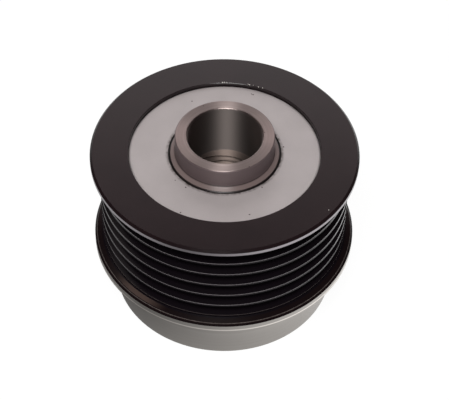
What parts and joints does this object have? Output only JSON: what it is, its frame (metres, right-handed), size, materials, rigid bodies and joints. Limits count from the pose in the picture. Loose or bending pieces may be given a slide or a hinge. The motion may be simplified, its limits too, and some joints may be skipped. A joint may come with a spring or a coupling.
{
  "type": "alternator pulley",
  "caption": "Overrunning alternator pulley: a ribbed belt ring on sealed ball bearings and a one-way roller clutch, around a threaded hub with a tool serration.",
  "frame": {"origin": "centre of the nose's rim, on the spin axis, in the plane that the pulley stands on", "axes": "+Z along the spin axis, from the nose towards the alternator; X and Y are any two radii"},
  "size_m": [0.061, 0.061, 0.0456],
  "materials": {
    "black_coated_steel": "satin black coat, bare grey turned nose",
    "zinc_plated_steel": "matt grey plate",
    "turned_steel": "fine turned, slightly warm grey",
    "bearing_steel": "ground and polished",
    "bright_steel": "ground",
    "spring_steel": "dark phosphated",
    "seal_rubber": "matt",
    "cage_nylon": "natural glass-filled"
  },
  "bodies": {
    "hub": {"hub": "turned_steel", "rear_inner_race": "bearing_steel", "front_inner_race": "bearing_steel", "clutch_cam_ring": "bearing_steel", "clutch_rollers": "bearing_steel", "clutch_springs": "spring_steel", "clutch_cage": "cage_nylon", "clutch_front_plate": "bright_steel", "clutch_rear_plate": "bright_steel"},
    "belt_ring": {"belt_ring": "black_coated_steel", "rear_cover_disc": "zinc_plated_steel", "rear_lip_seal": "seal_rubber", "rear_outer_race": "bearing_steel", "rear_outboard_seal": "seal_rubber", "rear_inboard_seal": "seal_rubber", "front_outer_race": "bearing_steel", "front_outboard_seal": "seal_rubber", "front_inboard_seal": "seal_rubber", "clutch_sleeve": "bearing_steel", "front_snap_ring": "spring_steel"},
    "rear_ball_set": {"rear_balls": "bearing_steel", "rear_ball_cage": "cage_nylon"},
    "front_ball_set": {"front_balls": "bearing_steel", "front_ball_cage": "cage_nylon"}
  },
  "joints": [
    {"name": "ring_spin", "type": "hinge", "parent": "hub", "child": "belt_ring", "pos_m": [0, 0, 0.0205], "axis": [0, 0, 1], "continuous": true},
    {"name": "rear_ball_orbit", "type": "hinge", "parent": "hub", "child": "rear_ball_set", "pos_m": [0, 0, 0.0344], "axis": [0, 0, 1], "continuous": true},
    {"name": "front_ball_orbit", "type": "hinge", "parent": "hub", "child": "front_ball_set", "pos_m": [0, 0, 0.0115], "axis": [0, 0, 1], "continuous": true}
  ],
  "couplings": [
    {"joint": "rear_ball_orbit", "follows": "ring_spin", "ratio": 0.5746},
    {"joint": "front_ball_orbit", "follows": "ring_spin", "ratio": 0.5746}
  ]
}
